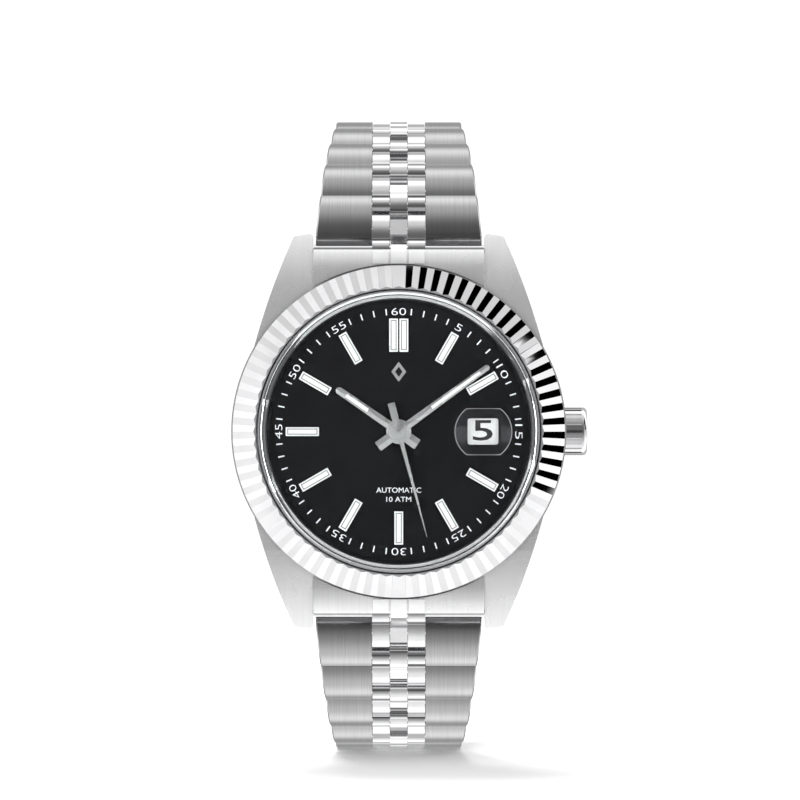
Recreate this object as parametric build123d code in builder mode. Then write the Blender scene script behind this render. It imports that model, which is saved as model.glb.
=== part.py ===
from build123d import *
import os
from math import asin, atan2, cos, hypot, pi, radians, sin, sqrt, tan

# A steel automatic wristwatch on a five-piece-link bracelet, closed as it stands on a display cuff.
# The dial faces -Y, twelve o'clock is +Z and the crown is at +X.
# The origin is the centre of the case back's flat outer face.
# Heights are measured forward from that face, which is along -Y. All sizes are in millimetres.

os.makedirs("parts", exist_ok=True)

# ---- Driving dimensions: case ----
case_radius = 20.2
case_base = 0.9
case_top = 8.0
lug_gap = 20.8
lug_tip_z = 24.0
lug_tip_width = 2.3
lug_root_z = 10.2
lug_shoulder_z = 12.0
lug_fall_z = 19.2
lug_fall_drop = 1.1
lug_tip_front = 4.0
lug_tip_back = 2.5
lug_heel_z = 19.8
lug_corner_round = 0.4
bore_radius = 14.6
dial_bore_radius = 16.05
back_bore_radius = 15.6
back_bore_depth = 1.5
neck_radius = 17.3
neck_top = 9.6

# ---- Bezel and crystal ----
bezel_radius = 20.0
bezel_rim_height = 0.9
bezel_slope_inner = 17.25
bezel_top = 10.6
bezel_lip = 0.15
bezel_ring_angle = 60.0
flute_count = 72
flute_depth = 0.26
crystal_radius = 16.75
crystal_thickness = 1.6
gasket_wall = 0.2
magnifier_radius = 3.4
magnifier_height = 5.5
magnifier_edge = 0.15
magnifier_curve = 7.0
date_window_x = 10.15
date_window_width = 2.7
date_window_height = 2.3

# ---- Case back ----
back_flange_radius = 16.9
back_plate = 1.2
back_boss_wall = 0.8
back_notch_count = 6
thread_play = 0.05

# ---- Dial ----
dial_seat = 7.7
dial_thickness = 0.4
dial_radius = 16.0
dial_view_radius = 15.5
marker_start = 9.6
marker_length = 4.0
marker_width = 1.08
marker_height = 0.45
emblem_z = 7.2

# ---- Hands: angles are clockwise from twelve ----
hour_angle = 304.5
minute_angle = 54.0
second_angle = 165.0
hand_thickness = 0.16
hour_hand_height = 8.5
minute_hand_height = 8.9
second_hand_height = 9.3
centre_hole_radius = 1.1
hour_pipe_radius = 0.9
minute_arbor_radius = 0.45
second_arbor_radius = 0.2
pipe_play = 0.07

# ---- Movement ----
movement_radius = 12.8
movement_rim = 0.5
bridge_back = 2.6
bridge_front = 3.4
plate_back = 5.8
plate_front = 7.0
pivot_radius = 0.12
pivot_play = 0.04
wheel_thickness = 0.2
level_fourth = 3.5
level_third = 3.8
level_centre = 4.1
level_escape = 4.5
level_barrel = 5.4
train_distance = 4.725
escape_distance = 4.7
barrel_distance = 5.76
balance_distance = 8.7
pallet_distance = 6.9
balance_radius = 3.4
rotor_radius = 12.2
rotor_back = 1.5
rotor_front = 2.2

# ---- Crown ----
crown_height = 4.75
crown_radius = 2.9
crown_start = 19.55
crown_flute_end = 22.1
crown_end = 22.75
crown_flute_count = 24
crown_bore = 1.72
crown_recess_play = 0.15
tube_radius = 1.2
tube_bore = 0.75
stem_radius = 0.5
seal_play = 0.05

# ---- Bracelet ----
pitch = 6.2
hinge_z = 22.0
hinge_height = 3.3
end_radius = 1.3
end_play = 0.15
bar_crest = 1.5
bar_inner = 1.3
pin_radius = 0.45
cross_pin_radius = 0.4
cross_pin_along = 2.9
cross_pin_drop = 0.35
knuckle_radius = 1.1
hinge_play = 0.05
cap_crest = 1.38
small_width = 2.1
column_play = 0.07
bracelet_width = 20.2
bracelet_taper_width = 15.7
taper_rows = 4
spring_bar_radius = 0.6
spring_tip_radius = 0.4
spring_tip_reach = 1.0
end_link_play = 0.08
end_link_back_z = 12.0
end_link_flat_z = 18.5
end_link_fall_z = 21.7
end_link_fall_drop = 1.15
bar_chamfer = 0.18

# Angle of each row from the case's plane, in degrees, from the case outwards.
upper_angles = (29, 48, 62, 70, 82, 98, 114, 131, 146, 160)
lower_angles = (30, 44, 54, 67, 83, 98, 112, 127, 143, 160)

# ---- Clasp ----
clasp_curve = 60.0
clasp_plate = 0.8
clasp_lift = 0.85
clasp_wall = 0.8
clasp_width = 15.8
cover_low_inset = 0.6
cover_high_inset = 1.6
cover_side_drop = 0.9
blade_thickness = 0.6
blade_pin_radius = 0.5
blade_knuckle = 0.85
blade_side_play = 0.3
outer_blade_pin_inset = 3.3
inner_blade_pin_inset = 4.6

# ---- Planes ----
FRONT = Plane(origin=(0, 0, 0), x_dir=(1, 0, 0), z_dir=(0, -1, 0))
SECTION = Plane(origin=(0, 0, 0), x_dir=(1, 0, 0), z_dir=(0, 0, -1))
SIDE = Plane(origin=(0, 0, 0), x_dir=(0, 0, 1), z_dir=(1, 0, 0))
DIAL_AXIS = Axis((0, 0, 0), (0, -1, 0))
CROWN_AXIS = Axis((0, -crown_height, 0), (1, 0, 0))


def crown_plane(x):
    """A plane across the crown's axis, at a distance from the watch's centre."""
    return Plane(origin=(x, -crown_height, 0), x_dir=(0, 0, 1), z_dir=(1, 0, 0))


def disc(radius, back, front, at=(0, 0), mode=Mode.ADD):
    """Add or cut a disc that lies between two heights."""
    with BuildSketch(FRONT.offset(back)) as outline:
        with Locations(at):
            Circle(radius)
    extrude(outline.sketch, amount=front - back, mode=mode)


def ring(inner, outer, back, front, at=(0, 0)):
    """Add a flat ring that lies between two heights."""
    with BuildSketch(FRONT.offset(back)) as outline:
        with Locations(at):
            Circle(outer)
            Circle(inner, mode=Mode.SUBTRACT)
    extrude(outline.sketch, amount=front - back)


def rod(radius, start, end, mode=Mode.ADD):
    """Add or cut a round rod on the crown's axis."""
    with BuildSketch(crown_plane(start)) as outline:
        Circle(radius)
    extrude(outline.sketch, amount=end - start, mode=mode)


def polar(distance, angle):
    """A point in the dial's plane, at an angle measured from three o'clock towards twelve."""
    return (distance * cos(radians(angle)), distance * sin(radians(angle)))


def gear(teeth, module, level, at=(0, 0), towards=0.0, gap=False):
    """Add a wheel with straight-sided teeth; a tooth, or a gap, points towards the given angle."""
    root = module * (teeth / 2 - 1.25)
    tip = module * (teeth / 2 + 0.85)
    step = 360 / teeth
    first = towards + (step / 2 if gap else 0)
    corners = []
    for tooth in range(teeth):
        middle = first + tooth * step
        corners.append(polar(root, middle - 0.32 * step))
        corners.append(polar(tip, middle - 0.12 * step))
        corners.append(polar(tip, middle + 0.12 * step))
        corners.append(polar(root, middle + 0.32 * step))
    with BuildSketch(FRONT.offset(level)) as outline:
        with Locations(at):
            Polygon(*corners, align=None)
    extrude(outline.sketch, amount=wheel_thickness)


def cut_windows(count, inner, outer, level, at=(0, 0), start=0.0):
    """Cross a wheel out between its hub and its rim, which leaves thin arms."""
    arm = 0.22
    with BuildSketch(FRONT.offset(level)) as outline:
        with Locations(at):
            Circle(outer)
            Circle(inner, mode=Mode.SUBTRACT)
            for spoke in range(count):
                Rectangle(outer * 1.05, arm, rotation=start + spoke * 360 / count,
                          align=(Align.MIN, Align.CENTER), mode=Mode.SUBTRACT)
    extrude(outline.sketch, amount=wheel_thickness, mode=Mode.SUBTRACT)


def together(label, *pieces):
    """One labelled node that keeps its touching pieces as separate solids."""
    return Compound(label=label, children=[solid for piece in pieces for solid in piece.solids()])


# ---- Case middle: the band with its four lugs ----
lug_inner = lug_gap / 2
lug_corner_x = lug_inner + lug_tip_width
lug_root_x = sqrt(case_radius**2 - lug_root_z**2)
lug_fall = (lug_fall_z, case_top - lug_fall_drop)
lug_heel = ((lug_heel_z + 2 * lug_tip_z) / 3, case_base + 0.28 * (lug_tip_back - case_base))

with BuildPart() as case_middle:
    with BuildSketch(FRONT.offset(case_base)) as plan:
        Circle(case_radius)
        for right in (1, -1):
            for top in (1, -1):
                with BuildLine():
                    Line((right * lug_inner, top * lug_root_z), (right * lug_inner, top * lug_tip_z))
                    Line((right * lug_inner, top * lug_tip_z), (right * lug_corner_x, top * (lug_tip_z - 0.35)))
                    ThreePointArc(
                        (right * lug_corner_x, top * (lug_tip_z - 0.35)),
                        (right * ((lug_corner_x + lug_root_x) / 2 + 0.2), top * (lug_tip_z + lug_root_z) / 2),
                        (right * lug_root_x, top * lug_root_z),
                    )
                    Line((right * lug_root_x, top * lug_root_z), (right * lug_inner, top * lug_root_z))
                make_face()
        fillet(plan.vertices().filter_by(lambda corner: abs(corner.Y) > lug_tip_z - 1), radius=lug_corner_round)
    extrude(amount=case_top - case_base)
    with BuildSketch(SIDE):
        with BuildLine():
            Line((-lug_shoulder_z, case_top), (lug_shoulder_z, case_top))
            ThreePointArc((lug_shoulder_z, case_top), lug_fall, (lug_tip_z, lug_tip_front))
            Line((lug_tip_z, lug_tip_front), (lug_tip_z, lug_tip_back))
            ThreePointArc((lug_tip_z, lug_tip_back), lug_heel, (lug_heel_z, case_base))
            Line((lug_heel_z, case_base), (-lug_heel_z, case_base))
            ThreePointArc((-lug_heel_z, case_base), (-lug_heel[0], lug_heel[1]), (-lug_tip_z, lug_tip_back))
            Line((-lug_tip_z, lug_tip_back), (-lug_tip_z, lug_tip_front))
            ThreePointArc((-lug_tip_z, lug_tip_front), (-lug_fall[0], lug_fall[1]), (-lug_shoulder_z, case_top))
        make_face()
    extrude(amount=case_radius + 2, both=True, mode=Mode.INTERSECT)
    disc(neck_radius, case_top, neck_top)
    disc(bore_radius, case_base, neck_top, mode=Mode.SUBTRACT)
    disc(dial_bore_radius, dial_seat, neck_top, mode=Mode.SUBTRACT)
    disc(back_bore_radius, case_base, case_base + back_bore_depth, mode=Mode.SUBTRACT)
    disc(back_bore_radius + 0.65, case_base, case_base + 0.55, mode=Mode.SUBTRACT)
    rod(crown_radius + crown_recess_play, crown_start - 0.1, case_radius + 5, mode=Mode.SUBTRACT)
    rod(tube_radius, bore_radius - 1, case_radius, mode=Mode.SUBTRACT)
    for top in (1, -1):
        with BuildSketch(Plane.YZ):
            with Locations((-hinge_height, top * hinge_z)):
                Circle(spring_tip_radius)
        extrude(amount=lug_inner + spring_tip_reach + 0.2, both=True, mode=Mode.SUBTRACT)
case_middle.part.label = "case_middle"
export_step(case_middle.part, "parts/case_middle.step")

# ---- Fluted bezel ----
slope_base = case_top + bezel_rim_height
slope_top = bezel_top - bezel_lip
slope = atan2(slope_top - slope_base, bezel_radius - bezel_slope_inner)
bezel_mouth = crystal_radius + gasket_wall
ring_steepness = tan(radians(bezel_ring_angle))
ring_foot_height = slope_top - flute_depth * ring_steepness

with BuildPart() as flute_cutter:
    for radius, height, share in (
        (bezel_radius + 0.6, slope_base - 0.6 * tan(slope), 1.04),
        (bezel_slope_inner - 0.1, slope_top + 0.1 * tan(slope), 0.98),
    ):
        half_width = share * radius * pi / flute_count
        with BuildSketch(Plane(origin=(radius, 0, height), x_dir=(0, 1, 0), z_dir=(1, 0, 0))):
            Polygon((-half_width, 0), (0, -flute_depth * share), (half_width, 0), (0, 0.6), align=None)
    loft()

with BuildPart(FRONT) as fluted_bezel:
    with BuildSketch(SECTION):
        Polygon(
            (neck_radius, case_top),
            (bezel_radius, case_top),
            (bezel_radius, slope_base),
            (bezel_slope_inner, slope_top),
            (bezel_mouth + 0.12, slope_top),
            (bezel_mouth, slope_top - 0.12),
            (bezel_mouth, neck_top),
            (neck_radius, neck_top),
            align=None,
        )
    revolve(axis=DIAL_AXIS)
    with PolarLocations(0, flute_count):
        add(flute_cutter.part, mode=Mode.SUBTRACT)
    # The smooth ring inside the flutes, whose sloping wall stands in every flute.
    with BuildSketch(SECTION):
        Polygon(
            (bezel_mouth, ring_foot_height),
            (bezel_slope_inner + flute_depth, ring_foot_height),
            (bezel_slope_inner - bezel_lip / ring_steepness, bezel_top),
            (bezel_mouth + 0.12, bezel_top),
            (bezel_mouth, bezel_top - 0.12),
            align=None,
        )
    revolve(axis=DIAL_AXIS)
fluted_bezel.part.label = "fluted_bezel"
export_step(fluted_bezel.part, "parts/fluted_bezel.step")

# ---- Crystal, its gasket and the date magnifier ----
crystal_top = neck_top + crystal_thickness

with BuildPart() as crystal:
    disc(crystal_radius, neck_top, crystal_top)
    chamfer(crystal.edges().filter_by(GeomType.CIRCLE).sort_by(Axis.Y)[0], length=0.5, length2=0.7)
crystal.part.label = "crystal"
export_step(crystal.part, "parts/crystal.step")

with BuildPart() as crystal_gasket:
    ring(crystal_radius, crystal_radius + gasket_wall, neck_top, bezel_top - 0.2)
crystal_gasket.part.label = "crystal_gasket"
export_step(crystal_gasket.part, "parts/crystal_gasket.step")

magnifier_sag = magnifier_curve - sqrt(magnifier_curve**2 - magnifier_radius**2)

with BuildPart() as date_magnifier:
    with BuildSketch(FRONT.offset(crystal_top)):
        with Locations((date_window_x, 0)):
            Circle(magnifier_radius)
            Rectangle(2 * magnifier_radius, magnifier_height, mode=Mode.INTERSECT)
    extrude(amount=magnifier_edge + magnifier_sag)
    with BuildSketch(Plane(origin=(date_window_x, 0, 0), x_dir=(1, 0, 0), z_dir=(0, 0, -1))):
        with Locations((0, crystal_top + magnifier_edge + magnifier_sag - magnifier_curve)):
            Circle(magnifier_curve)
            Rectangle(magnifier_curve, 2 * magnifier_curve, align=(Align.MIN, Align.CENTER), mode=Mode.INTERSECT)
    revolve(axis=Axis((date_window_x, 0, 0), (0, -1, 0)), mode=Mode.INTERSECT)
date_magnifier.part.label = "date_magnifier"
export_step(date_magnifier.part, "parts/date_magnifier.step")

# ---- Case back and its gasket ----
with BuildPart() as case_back:
    disc(back_flange_radius, 0, case_base)
    chamfer(case_back.edges().filter_by(GeomType.CIRCLE).sort_by(Axis.Y)[-1], length=0.5)
    with BuildSketch(FRONT):
        with PolarLocations(back_flange_radius + 0.1, back_notch_count):
            Rectangle(2.4, 3.0)
    extrude(amount=0.5, mode=Mode.SUBTRACT)
    disc(bore_radius - 0.4, case_base, back_plate)
    ring(
        back_bore_radius - thread_play - back_boss_wall,
        back_bore_radius - thread_play,
        case_base,
        case_base + back_bore_depth - 0.1,
    )
case_back.part.label = "case_back"
export_step(case_back.part, "parts/case_back.step")

with BuildPart() as case_back_gasket:
    ring(back_bore_radius + 0.03, back_bore_radius + 0.62, case_base, case_base + 0.5)
case_back_gasket.part.label = "case_back_gasket"
export_step(case_back_gasket.part, "parts/case_back_gasket.step")

# ---- Dial, its markers, the emblem and the sloping flange round it ----
dial_face = dial_seat + dial_thickness

with BuildPart() as dial:
    disc(dial_radius, dial_seat, dial_face)
    disc(centre_hole_radius, dial_seat, dial_face, mode=Mode.SUBTRACT)
    with BuildSketch(FRONT.offset(dial_seat)):
        with Locations((date_window_x, 0)):
            RectangleRounded(date_window_width, date_window_height, 0.2)
    extrude(amount=dial_thickness, mode=Mode.SUBTRACT)
dial.part.label = "dial"
export_step(dial.part, "parts/dial.step")

marker_middle = marker_start + marker_length / 2

with BuildPart() as hour_markers:
    for hour in range(12):
        if hour == 3:
            continue
        shifts = (-0.62, 0.62) if hour == 0 else (0,)
        turn = 90 - 30 * hour
        for shift in shifts:
            across = polar(shift, turn - 90)
            centre = polar(marker_middle, turn)
            with BuildSketch(FRONT.offset(dial_face)):
                with Locations((centre[0] + across[0], centre[1] + across[1])):
                    Rectangle(marker_length, marker_width, rotation=turn)
            extrude(amount=marker_height)
    chamfer(hour_markers.faces().sort_by(Axis.Y)[:12].edges(), length=0.16)
hour_markers.part.label = "hour_markers"
export_step(hour_markers.part, "parts/hour_markers.step")

with BuildPart() as dial_emblem:
    with BuildSketch(FRONT.offset(dial_face)):
        with Locations((0, emblem_z)):
            Polygon((-0.9, 0), (0, 1.2), (0.9, 0), (0, -1.2))
            Polygon((-0.45, 0), (0, 0.62), (0.45, 0), (0, -0.62), mode=Mode.SUBTRACT)
    extrude(amount=0.3)
dial_emblem.part.label = "dial_emblem"
export_step(dial_emblem.part, "parts/dial_emblem.step")

with BuildPart() as dial_flange:
    with BuildSketch(SECTION):
        Polygon(
            (dial_view_radius, dial_face),
            (dial_bore_radius - thread_play, dial_face),
            (dial_bore_radius - thread_play, neck_top - 0.1),
            (dial_view_radius + 0.4, neck_top - 0.1),
            align=None,
        )
    revolve(axis=DIAL_AXIS)
dial_flange.part.label = "dial_flange"
export_step(dial_flange.part, "parts/dial_flange.step")

# ---- Movement: where each arbor stands ----
third_at = polar(train_distance, -45)
escape_at = polar(escape_distance, 225)
pallet_at = polar(pallet_distance, 225)
balance_at = polar(balance_distance, 225)
barrel_at = polar(barrel_distance, 135)
arbors = (third_at, escape_at, pallet_at, balance_at)
screw_angles = (20, 95, 170, 285, 335)
screw_circle = 11.4
cock_width = 2.0

with BuildPart() as mainplate:
    disc(movement_radius, plate_back, plate_front)
    ring(movement_radius - movement_rim, movement_radius, bridge_front, plate_back)
    disc(minute_arbor_radius + 0.2, plate_back, plate_front, mode=Mode.SUBTRACT)
    for place in arbors:
        disc(pivot_radius + pivot_play, plate_back, plate_back + 0.6, at=place, mode=Mode.SUBTRACT)
    disc(stem_radius + pivot_play, plate_back, plate_back + 0.6, at=barrel_at, mode=Mode.SUBTRACT)
    for angle in screw_angles:
        disc(0.35, plate_back, plate_back + 0.6, at=polar(screw_circle, angle), mode=Mode.SUBTRACT)
    rod(stem_radius + 0.1, movement_radius - 1.5, movement_radius + 1, mode=Mode.SUBTRACT)
mainplate.part.label = "mainplate"
export_step(mainplate.part, "parts/mainplate.step")

with BuildPart() as movement_bridge:
    disc(movement_radius, bridge_back, bridge_front)
    disc(balance_radius + 0.7, bridge_back, bridge_front, at=balance_at, mode=Mode.SUBTRACT)
    with BuildSketch(FRONT.offset(bridge_back)):
        with Locations(balance_at):
            Rectangle(movement_radius, cock_width + 0.2, rotation=225, align=(Align.MIN, Align.CENTER))
    extrude(amount=bridge_front - bridge_back, mode=Mode.SUBTRACT)
    disc(0.9, rotor_back + 0.05, bridge_back)
    for place in (third_at, escape_at, pallet_at):
        disc(pivot_radius + pivot_play, bridge_front - 0.5, bridge_front, at=place, mode=Mode.SUBTRACT)
    disc(second_arbor_radius + pivot_play, bridge_front - 0.5, bridge_front, mode=Mode.SUBTRACT)
    disc(stem_radius + pivot_play, bridge_front - 0.5, bridge_front, at=barrel_at, mode=Mode.SUBTRACT)
    for angle in screw_angles:
        disc(0.35, bridge_back, bridge_front, at=polar(screw_circle, angle), mode=Mode.SUBTRACT)
movement_bridge.part.label = "movement_bridge"
export_step(movement_bridge.part, "parts/movement_bridge.step")

with BuildPart() as balance_cock:
    with BuildSketch(FRONT.offset(bridge_back)):
        with Locations(balance_at):
            Circle(1.3)
            Rectangle(6, cock_width, rotation=225, align=(Align.MIN, Align.CENTER))
        Circle(movement_radius, mode=Mode.INTERSECT)
    extrude(amount=bridge_front - bridge_back)
    disc(pivot_radius + pivot_play, bridge_front - 0.5, bridge_front, at=balance_at, mode=Mode.SUBTRACT)
balance_cock.part.label = "balance_cock"
export_step(balance_cock.part, "parts/balance_cock.step")

with BuildPart() as movement_screws:
    for angle in screw_angles:
        place = polar(screw_circle, angle)
        disc(0.7, bridge_back - 0.25, bridge_back, at=place)
        disc(0.35, bridge_back, plate_back + 0.5, at=place)
        with BuildSketch(FRONT.offset(bridge_back - 0.25)):
            with Locations(place):
                Rectangle(1.6, 0.16, rotation=angle)
        extrude(amount=0.1, mode=Mode.SUBTRACT)
movement_screws.part.label = "movement_screws"
export_step(movement_screws.part, "parts/movement_screws.step")

with BuildPart() as movement_ring:
    ring(movement_radius, bore_radius, case_base + back_bore_depth + 0.6, plate_front)
    rod(stem_radius + 0.1, movement_radius - 1, bore_radius + 1, mode=Mode.SUBTRACT)
movement_ring.part.label = "movement_ring"
export_step(movement_ring.part, "parts/movement_ring.step")

with BuildPart() as date_plate:
    disc(8.3, plate_front, plate_front + 0.5)
    disc(centre_hole_radius, plate_front, plate_front + 0.5, mode=Mode.SUBTRACT)
date_plate.part.label = "date_plate"
export_step(date_plate.part, "parts/date_plate.step")

with BuildPart() as date_disc:
    ring(8.4, 12.3, plate_front + 0.15, plate_front + 0.45)
    with BuildSketch(FRONT.offset(plate_front + 0.15)):
        with PolarLocations(8.4, 31):
            Circle(0.3)
    extrude(amount=0.3, mode=Mode.SUBTRACT)
date_disc.part.label = "date_disc"
export_step(date_disc.part, "parts/date_disc.step")

# ---- Going train, from the mainspring barrel to the balance ----
with BuildPart() as barrel:
    disc(4.75, level_escape - 0.05, plate_back - 0.1, at=barrel_at)
    gear(84, 0.12, level_barrel, at=barrel_at, towards=-45)
    disc(stem_radius, bridge_front - 0.45, plate_back + 0.55, at=barrel_at)
barrel.part.label = "barrel"
export_step(barrel.part, "parts/barrel.step")

with BuildPart() as centre_wheel:
    gear(80, 0.105, level_centre, towards=-45)
    cut_windows(5, 1.0, 3.6, level_centre)
    disc(minute_arbor_radius, level_centre, minute_hand_height + hand_thickness + 0.1)
    gear(12, 0.12, level_barrel, towards=135, gap=True)
    disc(second_arbor_radius + pipe_play, level_centre, minute_hand_height + 1, mode=Mode.SUBTRACT)
centre_wheel.part.label = "centre_wheel"
export_step(centre_wheel.part, "parts/centre_wheel.step")

with BuildPart() as third_wheel:
    gear(75, 2 * train_distance / 85, level_third, at=third_at, towards=135)
    cut_windows(5, 0.9, 3.5, level_third, at=third_at)
    gear(10, 0.105, level_centre, at=third_at, towards=135, gap=True)
    disc(0.2, level_third, level_centre, at=third_at)
    disc(pivot_radius, bridge_front - 0.45, plate_back + 0.55, at=third_at)
third_wheel.part.label = "third_wheel"
export_step(third_wheel.part, "parts/third_wheel.step")

with BuildPart() as fourth_wheel:
    gear(84, 2 * escape_distance / 91, level_fourth, towards=225)
    cut_windows(5, 0.9, 3.8, level_fourth)
    gear(10, 2 * train_distance / 85, level_third, towards=-45, gap=True)
    disc(second_arbor_radius, bridge_front - 0.45, second_hand_height + hand_thickness + 0.1)
fourth_wheel.part.label = "fourth_wheel"
export_step(fourth_wheel.part, "parts/fourth_wheel.step")

with BuildPart() as escape_wheel:
    gear(7, 2 * escape_distance / 91, level_fourth, at=escape_at, towards=45, gap=True)
    with BuildSketch(FRONT.offset(level_escape)):
        with Locations(escape_at):
            Circle(1.35)
            with PolarLocations(1.45, 20):
                Polygon((-0.2, -0.12), (0.15, -0.02), (0.15, 0.04), (-0.2, 0.14), align=None)
    extrude(amount=wheel_thickness)
    cut_windows(4, 0.5, 1.1, level_escape, at=escape_at)
    disc(pivot_radius, bridge_front - 0.45, plate_back + 0.55, at=escape_at)
escape_wheel.part.label = "escape_wheel"
export_step(escape_wheel.part, "parts/escape_wheel.step")

fork_length = balance_distance - pallet_distance

with BuildPart() as pallet_fork:
    with BuildSketch(FRONT.offset(level_escape)):
        with Locations(Location((pallet_at[0], pallet_at[1], 0), (0, 0, 225))):
            Rectangle(fork_length - 0.75, 0.24, align=(Align.MIN, Align.CENTER))
            Circle(0.35)
            Rectangle(0.3, 2.3)
            with Locations((-0.35, 1.0), (-0.35, -1.0)):
                Rectangle(0.55, 0.3)
            with Locations((fork_length - 0.75, 0.2), (fork_length - 0.75, -0.2)):
                Rectangle(0.24, 0.16)
    extrude(amount=wheel_thickness)
    disc(pivot_radius, bridge_front - 0.45, plate_back + 0.55, at=pallet_at)
pallet_fork.part.label = "pallet_fork"
export_step(pallet_fork.part, "parts/pallet_fork.step")

balance_level = 3.65
balance_thickness = 0.4
staff_radius = 0.25

with BuildPart() as balance_wheel:
    ring(balance_radius - 0.45, balance_radius, balance_level, balance_level + balance_thickness, at=balance_at)
    with BuildSketch(FRONT.offset(balance_level)):
        with Locations(balance_at):
            Rectangle(2 * balance_radius - 0.5, 0.4, rotation=45)
            Circle(0.6)
    extrude(amount=0.2)
    disc(staff_radius, balance_level, plate_back - 0.1, at=balance_at)
    disc(0.45, level_escape - 0.02, level_escape + wheel_thickness + 0.02, at=balance_at)
    disc(pivot_radius, bridge_front - 0.45, plate_back + 0.55, at=balance_at)
balance_wheel.part.label = "balance_wheel"

spring_turns = 6
spring_start = 0.33
spring_spacing = 0.2
spring_blade = 0.05

hairspring_plane = Plane(
    origin=(balance_at[0], -(balance_level + balance_thickness + 0.12), balance_at[1]),
    x_dir=(1, 0, 0),
    z_dir=(0, -1, 0),
)

with BuildPart() as hairspring:
    with BuildSketch(hairspring_plane):
        with BuildLine():
            steps = range(spring_turns * 24 + 1)
            inner_run = [polar(spring_start + spring_spacing * k / 24, 15 * k) for k in steps]
            outer_run = [polar(spring_start + spring_blade + spring_spacing * k / 24, 15 * k) for k in steps]
            Polyline(*inner_run, *reversed(outer_run), close=True)
        make_face()
        Circle(spring_start + spring_blade)
        Circle(staff_radius, mode=Mode.SUBTRACT)
    extrude(amount=0.15)

balance = together("balance_wheel", balance_wheel.part, hairspring.part)
export_step(balance, "parts/balance_wheel.step")

# ---- Winding rotor: its heavy half hangs down ----
with BuildPart() as rotor:
    with BuildSketch(FRONT.offset(rotor_back + 0.4)):
        Circle(rotor_radius)
        Rectangle(2 * rotor_radius + 1, rotor_radius + 1, align=(Align.CENTER, Align.MIN), mode=Mode.SUBTRACT)
        Circle(1.8)
    extrude(amount=rotor_front - rotor_back - 0.4)
    with BuildSketch(FRONT.offset(rotor_back)):
        Circle(rotor_radius)
        Circle(rotor_radius - 2.4, mode=Mode.SUBTRACT)
        Rectangle(2 * rotor_radius + 1, rotor_radius + 1, align=(Align.CENTER, Align.MIN), mode=Mode.SUBTRACT)
    extrude(amount=rotor_front - rotor_back)
    disc(0.9 + hinge_play, rotor_back, rotor_front, mode=Mode.SUBTRACT)
rotor.part.label = "rotor"
export_step(rotor.part, "parts/rotor.step")


# ---- Hands ----
def hand_plane(angle, height):
    """A plane at a height whose second axis points along the hand."""
    turn = radians(angle)
    return Plane(origin=(0, -height, 0), x_dir=(cos(turn), 0, -sin(turn)), z_dir=(0, -1, 0))


with BuildPart() as hour_hand:
    with BuildSketch(hand_plane(hour_angle, hour_hand_height)):
        Polygon((-0.62, -2.7), (0.62, -2.7), (0.68, 7.9), (0.25, 9.26), (-0.25, 9.26), (-0.68, 7.9), align=None)
        Circle(1.6)
    extrude(amount=hand_thickness)
    chamfer(hour_hand.faces().sort_by(Axis.Y)[0].edges(), length=0.1)
    disc(hour_pipe_radius, plate_front + 0.6, hour_hand_height + hand_thickness)
    disc(minute_arbor_radius + pipe_play, plate_front, hour_hand_height + 1, mode=Mode.SUBTRACT)
hour_hand.part.label = "hour_hand"
export_step(hour_hand.part, "parts/hour_hand.step")

with BuildPart() as minute_hand:
    with BuildSketch(hand_plane(minute_angle, minute_hand_height)):
        Polygon((-0.52, -3.1), (0.52, -3.1), (0.58, 12.9), (0.3, 13.6), (-0.3, 13.6), (-0.58, 12.9), align=None)
        Circle(1.15)
    extrude(amount=hand_thickness)
    chamfer(minute_hand.faces().sort_by(Axis.Y)[0].edges(), length=0.1)
    disc(minute_arbor_radius, minute_hand_height - 1, minute_hand_height + 1, mode=Mode.SUBTRACT)
minute_hand.part.label = "minute_hand"
export_step(minute_hand.part, "parts/minute_hand.step")

with BuildPart() as seconds_hand:
    with BuildSketch(hand_plane(second_angle, second_hand_height)):
        Polygon((-0.28, 0), (0.28, 0), (0.1, 13.1), (-0.1, 13.1), align=None)
        Polygon((-0.43, -3.6), (0.43, -3.6), (0.28, 0), (-0.28, 0), align=None)
        Circle(0.75)
    extrude(amount=hand_thickness)
    disc(second_arbor_radius, second_hand_height - 1, second_hand_height + 1, mode=Mode.SUBTRACT)
seconds_hand.part.label = "seconds_hand"
export_step(seconds_hand.part, "parts/seconds_hand.step")

# ---- Crown, its tube, seal and winding stem ----
with BuildPart() as crown_tube:
    rod(tube_radius, bore_radius + 0.1, crown_start + 1.9)
    rod(tube_bore, bore_radius - 1, crown_start + 3, mode=Mode.SUBTRACT)
crown_tube.part.label = "crown_tube"
export_step(crown_tube.part, "parts/crown_tube.step")

with BuildPart() as crown_seal:
    rod(crown_bore - seal_play, crown_start + 0.2, crown_start + 0.7)
    rod(tube_radius + seal_play, crown_start, crown_start + 1, mode=Mode.SUBTRACT)
crown_seal.part.label = "crown_seal"
export_step(crown_seal.part, "parts/crown_seal.step")

with BuildPart() as crown:
    rod(crown_radius, crown_start, crown_end)
    fillet(crown.edges().filter_by(GeomType.CIRCLE).sort_by(Axis.X)[-1], radius=0.5)
    chamfer(crown.edges().filter_by(GeomType.CIRCLE).sort_by(Axis.X)[0], length=0.3)
    with BuildSketch(crown_plane(crown_start - 0.1)):
        with PolarLocations(crown_radius + 0.05, crown_flute_count):
            RegularPolygon(0.34, 3, rotation=180)
    extrude(amount=crown_flute_end - crown_start + 0.1, mode=Mode.SUBTRACT)
    rod(crown_bore, crown_start - 0.1, crown_flute_end - 0.1, mode=Mode.SUBTRACT)
    rod(stem_radius, crown_start, crown_flute_end + 0.25, mode=Mode.SUBTRACT)
crown.part.label = "crown"
export_step(crown.part, "parts/crown.step")

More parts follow.
